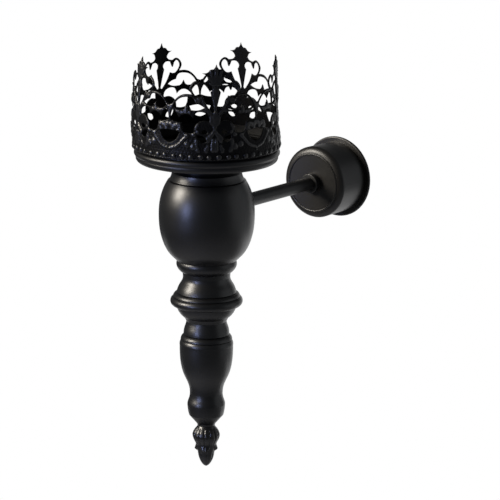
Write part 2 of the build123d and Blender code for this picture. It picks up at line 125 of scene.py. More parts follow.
# Raised work on the same half: points, half-width at both ends, height
RIDGES = [
    ([(0.0, 44.4), (0.0, 53.4)], 1.3, 0.5, 0.45),
    ([(0.7, 44.6), (2.2, 47.4), (2.9, 50.2)], 0.9, 0.6, 0.4),
    ([(1.4, 44.8), (4.4, 46.7), (7.0, 48.8)], 1.1, 0.5, 0.4),
    ([(0.0, 43.4), (2.6, 43.1)], 0.9, 0.8, 0.5),
    ([(0.0, 40.0), (0.0, 28.6)], 1.7, 0.8, 0.5),
    ([(9.6, 44.2), (12.0, 43.8), (13.8, 41.6), (13.6, 38.8)], 0.8, 0.7, 0.3),
    ([(7.2, 35.6), (5.0, 30.6), (2.6, 26.6)], 0.9, 0.9, 0.35),
    ([(12.6, 34.2), (10.4, 33.8), (8.8, 34.6)], 1.0, 1.1, 0.45),
    ([(13.6, 36.6), (18.4, 36.2), (22.2, 33.9), (24.6, 31.4)], 0.7, 0.7, 0.25),
    ([(16.4, 30.6), (16.4, 27.2)], 0.7, 1.1, 0.4),
    ([(1.2, 28.0), (5.0, 28.6), (9.0, 27.9)], 0.8, 0.6, 0.35),
    ([(0.0, 27.2), (0.0, 22.4)], 1.2, 1.7, 0.5),
    ([(1.7, 25.2), (2.6, 22.4), (1.4, 20.8)], 0.8, 0.7, 0.42),
    ([(0.0, 21.4), (0.0, 17.6)], 1.3, 0.7, 0.5),
    ([(0.5, 16.4), (2.2, 14.0), (3.9, 11.7)], 0.7, 1.2, 0.6),
    ([(0.9, 12.2), (0.9, 6.3)], 0.6, 1.1, 0.6),
    ([(3.4, 8.6), (4.6, 5.6)], 0.7, 1.0, 0.4),
    ([(9.9, 12.0), (10.2, 9.4), (9.2, 5.8)], 0.7, 1.0, 0.4),
    ([(10.9, 17.6), (9.4, 20.8)], 0.9, 0.7, 0.3),
    ([(19.4, 18.2), (21.2, 19.6), (23.0, 19.1)], 1.2, 0.9, 0.5),
    ([(24.2, 18.6), (25.4, 19.8), (26.45, 20.0)], 1.2, 0.9, 0.45),
    ([(19.6, 21.6), (20.6, 23.4)], 0.9, 0.7, 0.3),
    ([(14.0, 27.2), (18.0, 27.0), (21.6, 27.6)], 0.8, 0.8, 0.35),
    ([(24.9, 30.6), (26.45, 28.0), (26.45, 23.6)], 0.8, 1.1, 0.4),
    ([(26.45, 5.6), (26.45, 4.9)], 0.9, 0.7, 0.25),
]
BEADS = [(0.0, 24.4, 1.6, 0.65), (12.0, 7.8, 1.3, 0.62), (15.5, 9.0, 1.3, 0.62), (3.9, 11.6, 1.1, 0.6),
         (9.7, 16.4, 0.9, 0.45), (11.7, 14.8, 1.0, 0.5), (16.0, 14.0, 1.1, 0.62), (17.6, 16.0, 0.9, 0.4),
         (13.7, 41.7, 0.8, 0.3), (26.45, 29.6, 1.1, 0.5), (20.6, 16.9, 1.0, 0.45), (24.4, 17.3, 0.9, 0.4)]
ROPE = [(15.4, 14.5), (18.0, 11.5), (21.9, 7.9), (26.45, 6.4)]
ROPE_W = 0.9
ROPE_H = 0.68
ROPE_PITCH = 1.9
ROPE_TWIST = 0.09
ROPE_CURVE = 0.75
ROPE_STEP = 0.3
FOOT_BEAD_V = 0.45
FOOT_BEAD_W = 0.45
FOOT_BEAD_H = 0.3

# Pearls round the crown's foot, and how much they differ in place, size and height
PEARLS = 50
PEARL_V = 2.0
PEARL_R = 1.45
PEARL_CENTRE_R = 41.95
PEARL_PROUD = 0.83
PEARL_SUNK = 0.5
PEARL_UNEVEN = 0.32
PEARL_SIZES = 0.09
PEARL_LEVELS = 0.14

# How far each point's tip leans in, and how far it leans sideways, in the order of the points.
# The first point stands at CROWN_TURN, and the others follow anticlockwise as seen from above.
TIP_LEAN = [0.2, 0.9, 2.4, 2.4, 2.5]
TIP_SHIFT = [1.1, 0.0, 0.3, 0.0, 0.0]
LEAN_CURVE = 2.2
SHIFT_CURVE = 1.3

# How far the handled crown is pressed in on the photograph's right, at its foot and above,
# and how far it stands out on the left, at its foot and half way up
SQUEEZE_FOOT = 0.35
SQUEEZE_ABOVE = 1.2
SQUEEZE_RISE = 6
BULGE_FOOT = 0.55
BULGE_MIDDLE = 0.5
BULGE_NARROW = 8
BULGE_END = 0.95

# Finial
TAIL_Z = -126.9
FINIAL_TIP_Z = -151.7
FINIAL_PROFILE = [(-126.9, 4.9), (-128.0, 5.6), (-129.2, 6.6), (-130.6, 7.5), (-132.2, 8.0),
                  (-133.6, 7.9), (-135.1, 7.4), (-136.4, 6.7), (-137.4, 6.2), (-138.4, 5.85),
                  (-139.4, 5.65), (-141.0, 5.3), (-142.4, 5.0), (-143.6, 4.8), (-145.0, 4.6),
                  (-146.4, 4.25), (-147.6, 3.8), (-148.8, 3.2), (-149.9, 2.5), (-150.8, 1.7),
                  (-151.4, 0.9), (-151.7, 0.35)]
FLUTES = 14
FLUTE_DEPTH = 0.6
FLUTE_TOP_Z = -127.6
FLUTE_END_Z = -138.2
FLUTE_FADE = 2
FLUTE_SHARP = 2.5
LEAVES = 4
LEAF_TURN = math.radians(30.4)
LEAF_ANGLE = 0.55
LEAF_TOP_Z = -137.6
LEAF_TIP_Z = -141.0
LEAF_END_Z = -142.1
LEAF_OUT = 1.6
RIBS = 8
RIB_DEPTH = 0.25

# Pan: radii and heights above the rod, and the parts of its side
PAN_R = 41.2
PAN_Z = 29.9
PAN_TOP_Z = 43.4
PAN_WALL = 1.0
PAN_FOOT_R = 40.5
PAN_CORNER = 1.5
PAN_GROOVE_R = 40.4
PAN_GROOVE_Z = 33.3
PAN_ROLL_R = 41.6
PAN_NECK_R = 39.3
PAN_NECK_Z = 37.1
DIMPLE_R = 6.5
DIMPLE_DEPTH = 3.6
PAN_HOLE_R = 2.2

# Photograph: a long lens, turned and tilted so, and the place of the spindle in the frame
SHOT_TURN = math.radians(37.37)
SHOT_TILT = math.radians(13.3)
SHOT_ROLL = math.radians(0.35)
SHOT_DISTANCE = 1714.0
SHOT_ASIDE = -24.7
SHOT_ABOVE = 21.94
LENS = 216.0

# Light: the dim room, the cosines between which the white behind the holder fades, and the floor
ROOM_LIGHT = 0.09
BACKDROP_EDGE = 0.8
BACKDROP_FULL = 0.97
BACKDROP_TURN = math.radians(-20)
FLOOR_R = 3.0
FLOOR_Z = -1.2
FLOOR_WHITE_FROM = 0.8
FLOOR_WHITE_FULL = 1.8
FLOOR_GLOW = 0.97


# Plain geometry

def smooth_points(run, step):
    """Points along a run, at most a step apart: a straight line, or a cubic spline through its points."""
    points = np.array(run, float)
    chord = np.hypot(*np.diff(points, axis=0).T)
    at = np.concatenate([[0.0], np.cumsum(chord)])
    count = max(2, int(math.ceil(at[-1] / step)) + 1)
    wanted = np.linspace(0.0, at[-1], count)
    if len(points) == 2:
        return points[0] + (points[1] - points[0]) * (wanted / at[-1])[:, None]
    n = len(points)
    matrix = np.zeros((n, n))
    right = np.zeros((n, 2))
    matrix[0, 0] = matrix[-1, -1] = 1.0
    for i in range(1, n - 1):
        matrix[i, i - 1] = chord[i - 1]
        matrix[i, i] = 2 * (chord[i - 1] + chord[i])
        matrix[i, i + 1] = chord[i]
        slope_after = (points[i + 1] - points[i]) / chord[i]
        slope_before = (points[i] - points[i - 1]) / chord[i - 1]
        right[i] = 6 * (slope_after - slope_before)
    bend = np.linalg.solve(matrix, right)
    k = np.clip(np.searchsorted(at, wanted, side="right") - 1, 0, n - 2)
    h = chord[k][:, None]
    a = (at[k + 1] - wanted)[:, None]
    b = (wanted - at[k])[:, None]
    return (bend[k] * a ** 3 / (6 * h) + bend[k + 1] * b ** 3 / (6 * h)
            + (points[k] / h - bend[k] * h / 6) * a + (points[k + 1] / h - bend[k + 1] * h / 6) * b)


def closed_loop(runs, step):
    """One closed ring of points round an opening."""
    return np.concatenate([smooth_points(run, step)[:-1] for run in runs])


def distance_to(points, starts, ends, block=3000):
    """Distance from each point to the nearest of many segments, and how far along them it falls."""
    best = np.empty(len(points))
    which = np.empty(len(points), int)
    share = np.empty(len(points))
    along = ends - starts
    length2 = np.maximum((along ** 2).sum(1), 1e-12)
    for i in range(0, len(points), block):
        p = points[i:i + block]
        t = ((p[:, None] - starts) * along).sum(2) / length2
        t = np.clip(t, 0, 1)
        gap = p[:, None] - (starts + t[..., None] * along)
        d2 = (gap ** 2).sum(2)
        k = d2.argmin(1)
        rows = np.arange(len(p))
        best[i:i + block] = np.sqrt(d2[rows, k])
        which[i:i + block] = k
        share[i:i + block] = t[rows, k]
    return best, which, share


def inside(points, loops):
    """Whether each point is inside an odd number of the closed loops."""
    odd = np.zeros(len(points), bool)
    for loop in loops:
        x0, y0 = loop[:, 0], loop[:, 1]
        x1, y1 = np.roll(x0, -1), np.roll(y0, -1)
        rise = np.where(np.abs(y1 - y0) < 1e-12, 1e-12, y1 - y0)
        for i in range(0, len(points), 4000):
            px = points[i:i + 4000, 0][:, None]
            py = points[i:i + 4000, 1][:, None]
            crosses = ((y0 > py) != (y1 > py)) & (px < (x1 - x0) * (py - y0) / rise + x0)
            odd[i:i + 4000] ^= (crosses.sum(1) % 2).astype(bool)
    return odd


def mesh_object(name, vertices, faces):
    """A smooth-shaded mesh from points in millimetres."""
    mesh = bpy.data.meshes.new(name)
    mesh.from_pydata([tuple(v) for v in np.asarray(vertices) * MM], [], [list(map(int, f)) for f in faces])
    mesh.validate()
    mesh.update()
    mesh.polygons.foreach_set("use_smooth", [True] * len(mesh.polygons))
    thing = bpy.data.objects.new(name, mesh)
    bpy.context.scene.collection.objects.link(thing)
    return thing


# The crown

def crown_loops(step):
    """The outer ring of half a point, and the rings of its openings."""
    top = smooth_points(SWAG_TOP, step / 2) + (HALF_W, 0)
    bottom = smooth_points(SWAG_BOTTOM, step / 2) + (HALF_W, 0)
    eye_top = top[top[:, 0] < HALF_W - EYE_TRIM][::-1]
    lower = bottom[bottom[:, 0] < HALF_W - EYE_TRIM][::-1][1:]
    eye = np.concatenate([[(HALF_W, SWAG_TOP_V)], eye_top, lower, [(HALF_W, SWAG_LOW_V)]])
    eye = eye[np.concatenate([[True], np.hypot(*np.diff(eye, axis=0).T) > 0.05])]
    edge = np.concatenate([smooth_points(run, step)[:-1] for run in EDGE_RUNS])
    above = smooth_points([(HALF_W, VALLEY_V), (HALF_W, SWAG_TOP_V)], step)[:-1]
    below = smooth_points([(HALF_W, SWAG_LOW_V), (HALF_W, 0.0)], step)[:-1]
    foot = smooth_points([(HALF_W, 0.0), (0.0, 0.0)], step)[:-1]
    middle = smooth_points([(0.0, 0.0), (0.0, CROWN_H)], step)[:-1]
    outer = np.concatenate([edge, above, eye[:-1], below, foot, middle])
    free = [np.concatenate([edge, [(HALF_W, VALLEY_V)]]), eye, np.concatenate([foot, [(0.0, 0.0)]])]
    holes = [closed_loop(runs, step) for runs in OPENINGS]
    return outer, free, holes


def swell(share):
    """A soft hump: 1 on its line and 0 from one width away."""
    return np.clip(1 - (share / SWELL_W) ** 2, 0, 1) ** SWELL_CURVE


def relief(points, edge_distance):
    """Height of the raised work over each point of the half drawing."""
    height = np.zeros(len(points))
    for run, w0, w1, h in RIDGES:
        line = smooth_points(run, RIDGE_STEP)
        d, k, t = distance_to(points, line[:-1], line[1:])
        share = (k + t) / (len(line) - 1)
        w = w0 + (w1 - w0) * share
        height = np.maximum(height, h * swell(d / w))
    for u, v, r, h in BEADS:
        d = np.hypot(points[:, 0] - u, points[:, 1] - v)
        height = np.maximum(height, h * swell(d / r))
    line = smooth_points(ROPE, ROPE_STEP)
    d, k, t = distance_to(points, line[:-1], line[1:])
    along = (k + t) * ROPE_STEP
    side = np.sign(points[:, 1] - np.interp(points[:, 0], line[:, 0], line[:, 1]))
    twist = 1 + ROPE_TWIST * np.cos(2 * math.pi * (along + 0.7 * side * d) / ROPE_PITCH)
    rope = ROPE_H * np.clip(1 - (d / ROPE_W) ** 2, 0, 1) ** ROPE_CURVE * twist
    height = np.maximum(height, rope)
    d = np.abs(points[:, 1] - FOOT_BEAD_V)
    height = np.maximum(height, FOOT_BEAD_H * np.sqrt(np.clip(1 - (d / FOOT_BEAD_W) ** 2, 0, 1)))
    grain = (np.sin(points[:, 0] * 3.1 + 1.7 * np.sin(points[:, 1] * 2.3))
             * np.sin(points[:, 1] * 3.7 + 1.3 * np.sin(points[:, 0] * 2.9)))
    rounding = ROUND_H * np.sqrt(np.clip(1 - (1 - np.minimum(edge_distance, ROUND_W) / ROUND_W) ** 2, 0, 1))
    calm = np.clip(edge_distance / CALM_W, 0, 1)
    return rounding + calm * (height + GRAIN_H * grain)


def crown_half():
    """Points, relief and triangles of half a point, laid out flat."""
    outer, free, holes = crown_loops(GRID)
    loops = [outer] + holes
    starts = []
    ends = []
    for chain in free:
        starts.append(chain[:-1])
        ends.append(chain[1:])
    for loop in holes:
        starts.append(loop)
        ends.append(np.roll(loop, -1, axis=0))
    starts = np.concatenate(starts)
    ends = np.concatenate(ends)

    row_h = GRID * math.sqrt(3) / 2
    rows = np.arange(row_h, CROWN_H, row_h)
    grid = []
    # Every second row is moved by half a step
    for j, v in enumerate(rows):
        u = np.arange(GRID * (0.75 if j % 2 else 1.25), HALF_W - 0.4 * GRID, GRID)
        grid.append(np.column_stack([u, np.full(len(u), v)]))
    grid = np.concatenate(grid)
    all_starts = np.concatenate(loops)
    all_ends = np.concatenate([np.roll(loop, -1, axis=0) for loop in loops])
    keep = inside(grid, loops)
    grid = grid[keep]
    near = distance_to(grid, all_starts, all_ends)[0]
    grid = grid[near > GRID_CLEAR * GRID]

    points = []
    edges = []
    for loop in loops:
        first = sum(len(p) for p in points)
        n = len(loop)
        points.append(loop)
        edges += [(first + i, first + (i + 1) % n) for i in range(n)]
    points.append(grid)
    flat = np.concatenate(points)
    result = delaunay_2d_cdt([Vector(p) for p in flat], edges, [], 0, 1e-5, False)
    flat = np.array([tuple(v) for v in result[0]])
    triangles = np.array([f for f in result[2] if len(f) == 3])
    middle = flat[triangles].mean(axis=1)
    triangles = triangles[inside(middle, loops)]
    used = np.unique(triangles)
    renumber = np.full(len(flat), -1)
    renumber[used] = np.arange(len(used))
    flat = flat[used]
    triangles = renumber[triangles]
    a, b, c = (flat[triangles[:, i]] for i in range(3))
    turn = (b[:, 0] - a[:, 0]) * (c[:, 1] - a[:, 1]) - (b[:, 1] - a[:, 1]) * (c[:, 0] - a[:, 0])
    triangles[turn < 0] = triangles[turn < 0][:, ::-1]
    edge_distance = distance_to(flat, starts, ends)[0]
    return flat, relief(flat, edge_distance), triangles


def round_the_ring(values, angle):
    """A value between those of the points on either side of an angle."""
    step = 2 * math.pi / CROWN_POINTS
    place = ((angle - CROWN_TURN) / step) % CROWN_POINTS
    low = np.floor(place).astype(int) % CROWN_POINTS
    share = place - np.floor(place)
    share = share * share * (3 - 2 * share)
    values = np.array(values)
    return values[low] * (1 - share) + values[(low + 1) % CROWN_POINTS] * share


def bent(angle, v, radius):
    """Where a point of the straight crown lies on this one, which has been handled."""
    rise = np.clip((v - PAN_RIM_V) / (CROWN_H - PAN_RIM_V), 0, 1)
    lean = round_the_ring(TIP_LEAN, angle) * rise ** LEAN_CURVE
    shift = round_the_ring(TIP_SHIFT, angle) * rise ** SHIFT_CURVE
    shot = angle - SHOT_TURN
    pressed = SQUEEZE_FOOT + SQUEEZE_ABOVE * np.clip(rise * SQUEEZE_RISE, 0, 1)
    squeeze = np.clip(np.sin(shot), 0, 1) ** 2 * pressed
    swollen = BULGE_FOOT + BULGE_MIDDLE * np.sin(math.pi * np.clip(rise / BULGE_END, 0, 1))
    bulge = np.clip(-np.sin(shot), 0, 1) ** BULGE_NARROW * swollen
    r = radius - lean - squeeze + bulge
    a = angle + shift / CROWN_UNROLL_R
    return np.column_stack([r * np.sin(a), SPINDLE_Y - r * np.cos(a), CROWN_Z + v])


def make_crown():
    """The pierced strip: ten halves in a ring, welded, given a back and walls, and bent as handled."""
    flat, height, triangles = crown_half()
    n = len(flat)
    angles = []
    levels = []
    heights = []
    faces = []
    for point in range(CROWN_POINTS):
        for side in (1, -1):
            first = len(angles) * n
            across = side * flat[:, 0] / CROWN_UNROLL_R
            angles.append(CROWN_TURN + point * 2 * math.pi / CROWN_POINTS + across)
            levels.append(flat[:, 1])
            heights.append(height)
            faces.append(first + (triangles if side > 0 else triangles[:, ::-1]))
    angle = np.concatenate(angles)
    level = np.concatenate(levels)
    raised = np.concatenate(heights)
    faces = np.concatenate(faces)
    key = np.round(np.column_stack([np.cos(angle), np.sin(angle), level / 30]), 5)
    _, first_at, to_unique = np.unique(key, axis=0, return_index=True, return_inverse=True)
    to_unique = to_unique.reshape(-1)
    faces = to_unique[faces]
    angle, level, raised = angle[first_at], level[first_at], raised[first_at]
    count = len(angle)

    sides = np.concatenate([faces[:, [0, 1]], faces[:, [1, 2]], faces[:, [2, 0]]])
    sorted_sides = np.sort(sides, axis=1)
    code = sorted_sides[:, 0] * count + sorted_sides[:, 1]
    _, at, times = np.unique(code, return_index=True, return_counts=True)
    border = sides[at[times == 1]]
    walls = np.column_stack([border[:, 1], border[:, 0], border[:, 0] + count, border[:, 1] + count])

    front = bent(angle, level, np.minimum(CROWN_EDGE_R + raised, CROWN_MAX_R))
    soft_back = SOFT_BACK * (1 - np.clip(raised / ROUND_H, 0, 1)) * np.clip((level - PAN_RIM_V) / 2, 0, 1)
    back = bent(angle, level, CROWN_BACK_R + soft_back)
    vertices = np.concatenate([front, back])
    all_faces = [list(f) for f in faces] + [list(f[::-1] + count) for f in faces] + [list(f) for f in walls]
    crown = mesh_object("crown_filigree", vertices, all_faces)
    attribute = crown.data.attributes.new("relief", "FLOAT", "POINT")
    values = np.concatenate([raised, np.full(count, ROUND_H)]).astype(np.float32)
    if len(crown.data.vertices) == len(values):
        attribute.data.foreach_set("value", values)
    return crown


def make_pearls():
    """Fifty half-round studs round the foot, each an egg pressed into the sheet, none quite in line."""
    vertices = []
    faces = []
    rings = 9
    around = 16
    for i in range(PEARLS):
        uneven = math.sin(i * 2.399) * PEARL_UNEVEN
        size = PEARL_R * (1 + PEARL_SIZES * math.sin(i * 4.7 + 1))
        middle = CROWN_TURN + (i + 0.5) * 2 * math.pi / PEARLS + uneven / CROWN_UNROLL_R
        height = PEARL_V + PEARL_LEVELS * math.sin(i * 3.3)
        flat = PEARL_SUNK * max(0.0, math.sin(middle - SHOT_TURN)) ** 2
        first = len(vertices)
        for j in range(rings + 1):
            tilt = math.pi * j / rings
            for k in range(around):
                turn = 2 * math.pi * k / around
                across = size * math.sin(tilt) * math.cos(turn)
                up = size * math.sin(tilt) * math.sin(turn)
                out = PEARL_PROUD * math.cos(tilt)
                a = middle + across / CROWN_UNROLL_R
                r = PEARL_CENTRE_R + out - flat
                vertices.append((r * math.sin(a), SPINDLE_Y - r * math.cos(a), CROWN_Z + height + up))
        for j in range(rings):
            for k in range(around):
                a = first + j * around + k
                b = first + j * around + (k + 1) % around
                faces.append([a, a + around, b + around, b])
    pearls = mesh_object("crown_pearls", vertices, faces)
    weld(pearls, 0.00001)
    attribute = pearls.data.attributes.new("relief", "FLOAT", "POINT")
    attribute.data.foreach_set("value", [1.0] * len(pearls.data.vertices))
    return pearls


def weld(thing, distance):
    """Joins vertices that lie in one place and turns the faces outwards."""
    work = bmesh.new()
    work.from_mesh(thing.data)
    bmesh.ops.remove_doubles(work, verts=work.verts, dist=distance)
    bmesh.ops.dissolve_degenerate(work, edges=work.edges, dist=1e-7)
    bmesh.ops.recalc_face_normals(work, faces=work.faces)
    work.to_mesh(thing.data)
    work.free()


def lathe(name, outline, around=256, closed=False):
    """Turns points of radius and height about the spindle's axis."""
    outline = np.array(outline, float)
    turn = np.linspace(0, 2 * math.pi, around, endpoint=False)
    rows = []
    for r, z in outline:
        rows.append(np.column_stack([r * np.sin(turn), SPINDLE_Y - r * np.cos(turn), np.full(around, z)]))
    n = len(outline)
    faces = []
    for i in range(n if closed else n - 1):
        for k in range(around):
            a = i * around + k
            b = i * around + (k + 1) % around
            step = ((i + 1) % n) * around - i * around
            faces.append([a, b, b + step, a + step])
    return mesh_object(name, np.concatenate(rows), faces)


def arc_points(middle, radius, start, end, count):
    """Points on an arc, angles in degrees from outwards to upwards."""
    turn = np.radians(np.linspace(start, end, count))
    return [(middle[0] + radius * math.cos(a), middle[1] + radius * math.sin(a)) for a in turn]


def arc_through(start, between, end, count):
    """Points on the arc through three points, from the first to the last."""
    a, b, c = (complex(*point) for point in (start, between, end))
    w = (c - a) / (b - a)
    middle = a + (b - a) * (w - abs(w) ** 2) / (2j * w.imag)
    first = math.degrees(math.atan2((a - middle).imag, (a - middle).real))
    last = math.degrees(math.atan2((c - middle).imag, (c - middle).real))
    return arc_points((middle.real, middle.imag), abs(a - middle), first, last, count)


def pan_side(inset, floor_z, ledge_z):
    """The pan's side from its floor up to its rim, moved inwards by an inset: two rolls and a neck."""
    rim_r = PAN_R - inset
    corner = (PAN_FOOT_R - PAN_CORNER, floor_z)
    groove = (PAN_GROOVE_R - inset, PAN_GROOVE_Z)
    neck = (PAN_NECK_R - inset, PAN_NECK_Z)
    foot_roll = (PAN_FOOT_R - inset, (floor_z + PAN_GROOVE_Z) / 2)
    upper_roll = (PAN_ROLL_R - inset, (PAN_GROOVE_Z + PAN_NECK_Z) / 2)
    side = arc_through(corner, foot_roll, groove, 13)
    side += arc_through(groove, upper_roll, neck, 17)[1:]
    side += [(neck[0], ledge_z - 0.5), (neck[0] + 0.15, ledge_z - 0.12), (neck[0] + 0.5, ledge_z)]
    side += [(rim_r - 0.2, ledge_z), (rim_r, ledge_z + 0.2)]
    return side


def make_pan():
    """The spun pan: outside, rim and inside in one closed outline, turned about the spindle."""
    outside = pan_side(0.0, PAN_Z, CROWN_Z)
    inside_side = pan_side(PAN_WALL, PAN_Z + PAN_WALL, CROWN_Z + PAN_WALL)
    rim = arc_points((PAN_R - PAN_WALL / 2, PAN_TOP_Z - PAN_WALL / 2), PAN_WALL / 2, 0, 180, 9)
    sunk_z = PAN_Z - DIMPLE_DEPTH
    under = [(PAN_HOLE_R, sunk_z), (DIMPLE_R + PAN_WALL - 0.8, sunk_z), (DIMPLE_R + PAN_WALL, sunk_z + 0.8),
             (DIMPLE_R + PAN_WALL, PAN_Z)]
    over = [(DIMPLE_R + 0.6, PAN_Z + PAN_WALL), (DIMPLE_R, PAN_Z + PAN_WALL - 0.6),
            (DIMPLE_R, sunk_z + PAN_WALL), (PAN_HOLE_R, sunk_z + PAN_WALL)]
    return lathe("pan_spun", under + outside + rim + inside_side[::-1] + over, closed=True)


def finial_radius(z, turn):
    """The finial's radius at a height and an angle: fluted tulip, four curled leaves and a ribbed drop."""
    heights, radii = zip(*FINIAL_PROFILE)
    r = np.interp(z, heights[::-1], radii[::-1])
    tulip = np.clip(np.minimum((FLUTE_TOP_Z - z) / FLUTE_FADE, (z - FLUTE_END_Z) / FLUTE_FADE), 0, 1)
    groove = (1 - np.abs(np.sin(FLUTES / 2 * (turn - LEAF_TURN)))) ** FLUTE_SHARP
    r = r - FLUTE_DEPTH * tulip * groove
    drop = np.clip(np.minimum((LEAF_END_Z - z) / 1.5, (z - FINIAL_TIP_Z) / 3), 0, 1)
    rib = (1 - np.abs(np.sin(RIBS / 2 * turn))) ** 2
    r = r - RIB_DEPTH * drop * rib
    off = (turn - LEAF_TURN + math.pi / LEAVES) % (2 * math.pi / LEAVES) - math.pi / LEAVES
    rise = np.clip((LEAF_TOP_Z - z) / (LEAF_TOP_Z - LEAF_TIP_Z), 0, 1) ** 1.4
    fall = np.clip((z - LEAF_END_Z) / (LEAF_TIP_Z - LEAF_END_Z), 0, 1) ** 0.5
    half = LEAF_ANGLE * (1 - 0.55 * np.clip((LEAF_TIP_Z + 1.2 - z) / 2, 0, 1))
    blade = np.clip(1 - (off / half) ** 2, 0, 1) ** 0.7 * (1 - 0.25 * np.exp(-(off / 0.06) ** 2))
    return r + LEAF_OUT * rise * fall * blade


def make_finial():
    """The cast finial, closed at both ends."""
    around = 288
    z = np.linspace(TAIL_Z, FINIAL_TIP_Z, 140)
    turn = np.linspace(0, 2 * math.pi, around, endpoint=False)
    level, angle = np.meshgrid(z, turn, indexing="ij")
    r = finial_radius(level, angle)
    vertices = np.column_stack([(r * np.sin(angle)).ravel(), (SPINDLE_Y - r * np.cos(angle)).ravel(),
                                level.ravel()])
    faces = []
    for i in range(len(z) - 1):
        for k in range(around):
            a = i * around + k
            b = i * around + (k + 1) % around
            faces.append([a, a + around, b + around, b])
    faces.append(list(range(around)))
    faces.append([(len(z) - 1) * around + k for k in range(around)][::-1])
    return mesh_object("finial_cast", vertices, faces)


# Materials

def node(tree, kind, place, **values):
    """A shader node at a place in its tree, with some of its settings."""
    made = tree.nodes.new(kind)
    made.location = place
    for name, value in values.items():
        setattr(made, name, value)
    return made


def paint(name, color, roughness, specular=0.75, peel=0.0):
    """Black paint: uneven gloss from noise, an orange-peel skin, and a colour that is never quite flat."""
    material = bpy.data.materials.new(name)
    material.use_nodes = True
    tree = material.node_tree
    links = tree.links
    shader = tree.nodes["Principled BSDF"]
    shader.inputs["Specular IOR Level"].default_value = specular
    place = node(tree, "ShaderNodeTexCoord", (-1400, 0))
    cloud = node(tree, "ShaderNodeTexNoise", (-1100, 200))
    cloud.inputs["Scale"].default_value = 60.0
    cloud.inputs["Detail"].default_value = 5.0
    cloud.inputs["Roughness"].default_value = 0.6
    links.new(place.outputs["Object"], cloud.inputs["Vector"])
    shade = node(tree, "ShaderNodeMixRGB", (-600, 200))
    shade.inputs["Color1"].default_value = (*[c * 0.75 for c in color], 1)
    shade.inputs["Color2"].default_value = (*[c * 1.3 for c in color], 1)
    links.new(cloud.outputs["Fac"], shade.inputs["Fac"])
    links.new(shade.outputs["Color"], shader.inputs["Base Color"])
    gloss = node(tree, "ShaderNodeMapRange", (-600, -50))
    gloss.inputs["To Min"].default_value = roughness - 0.04
    gloss.inputs["To Max"].default_value = roughness + 0.05
    links.new(cloud.outputs["Fac"], gloss.inputs["Value"])
    links.new(gloss.outputs["Result"], shader.inputs["Roughness"])
    skin = node(tree, "ShaderNodeTexNoise", (-1100, -300))
    skin.inputs["Scale"].default_value = 900.0
    skin.inputs["Detail"].default_value = 2.0
    links.new(place.outputs["Object"], skin.inputs["Vector"])
    bump = node(tree, "ShaderNodeBump", (-300, -300))
    bump.inputs["Strength"].default_value = 0.25
    bump.inputs["Distance"].default_value = peel * MM
    links.new(skin.outputs["Fac"], bump.inputs["Height"])
    links.new(bump.outputs["Normal"], shader.inputs["Normal"])
    return material


def dress(piece, replaced, slot, *materials):
    """Puts materials on a piece and ties it to the part."""
    for material in materials:
        piece.data.materials.append(material)
    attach(piece, "root")
    if replaced:
        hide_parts(replaced)


def split_faces(piece, chosen):
    """Gives the second material to the faces chosen by their middle and their mean relief."""
    mesh = piece.data
    points = np.empty(len(mesh.vertices) * 3)
    mesh.vertices.foreach_get("co", points)
    points = points.reshape(-1, 3)
    raised = np.zeros(len(points))
    if "relief" in mesh.attributes:
        mesh.attributes["relief"].data.foreach_get("value", raised)
    for face in mesh.polygons:
        corners = list(face.vertices)
        if chosen(points[corners].mean(axis=0) / MM, raised[corners].mean()):
            face.material_index = 1


def in_pan(middle):
    """Whether a face of the pan looks at the candle."""
    r = math.hypot(middle[0], middle[1] - SPINDLE_Y)
    neck_in = r < PAN_NECK_R - 0.5 * PAN_WALL and middle[2] > PAN_GROOVE_Z
    rim_in = r < PAN_R - 0.8 * PAN_WALL and middle[2] > CROWN_Z + 0.5
    low_in = r < PAN_FOOT_R - 1.5 * PAN_WALL and PAN_Z + 0.5 * PAN_WALL < middle[2] < PAN_GROOVE_Z
    return neck_in or rim_in or low_in


def assign(name, material):
    """Gives a solid of the part one material."""
    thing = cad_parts[name]
    thing.data.materials.clear()
    thing.data.materials.append(material)


# Building the part

crown = make_crown()
pearls = make_pearls()
# The crown's sheet is split in two blacks: the faces below CREST_FROM take a darker black, painted shade in
# the recesses, and the raised crests and the pearls take a lighter, glossier black, partly thinner paint on
# the raised work and partly a painted highlight
crown_paint = paint("crown_recess_shade_black", (0.005, 0.005, 0.0052), 0.4, specular=0.13, peel=0.02)
crest_highlight_paint = paint("crown_crest_wear_and_highlight", (0.007, 0.007, 0.008), 0.32, specular=0.7, peel=0.01)
dress(crown, "filigree_crown", "crown_paint", crown_paint, crest_highlight_paint)
split_faces(crown, lambda middle, raised: raised > CREST_FROM)
dress(pearls, None, "crown_paint", crest_highlight_paint)

pan = make_pan()
pan_paint = paint("pan_black", (0.003, 0.003, 0.0035), 0.4, specular=0.6, peel=0.015)
pan_inside = paint("pan_inside", (0.008, 0.008, 0.008), 0.6, specular=0.15)
dress(pan, "candle_pan", "pan_paint", pan_paint, pan_inside)
split_faces(pan, lambda middle, raised: in_pan(middle))

finial = make_finial()
finial_paint = paint("finial_black", (0.004, 0.004, 0.0045), 0.32, peel=0.02)
dress(finial, "finial", "finial_paint", finial_paint)

spindle_paint = paint("spindle_black", (0.003, 0.003, 0.0032), 0.36, peel=0.03)
arm_paint = paint("arm_black", (0.005, 0.005, 0.005), 0.42, peel=0.015)
cup_paint = paint("cup_black", (0.006, 0.005, 0.004), 0.4, peel=0.02)
steel = paint("plated_steel", (0.4, 0.4, 0.38), 0.35, peel=0.0)
dark = paint("dark_steel", (0.06, 0.06, 0.06), 0.4, peel=0.0)
assign("spindle", spindle_paint)
assign("arm_rod", arm_paint)
assign("rod_collar", arm_paint)
assign("wall_cup", cup_paint)
for part in ("wall_plate", "lock_nut", "pan_washer", "pan_screw", "finial_stud"):
    assign(part, steel)
assign("collar_screw", dark)


# Camera, floor and light

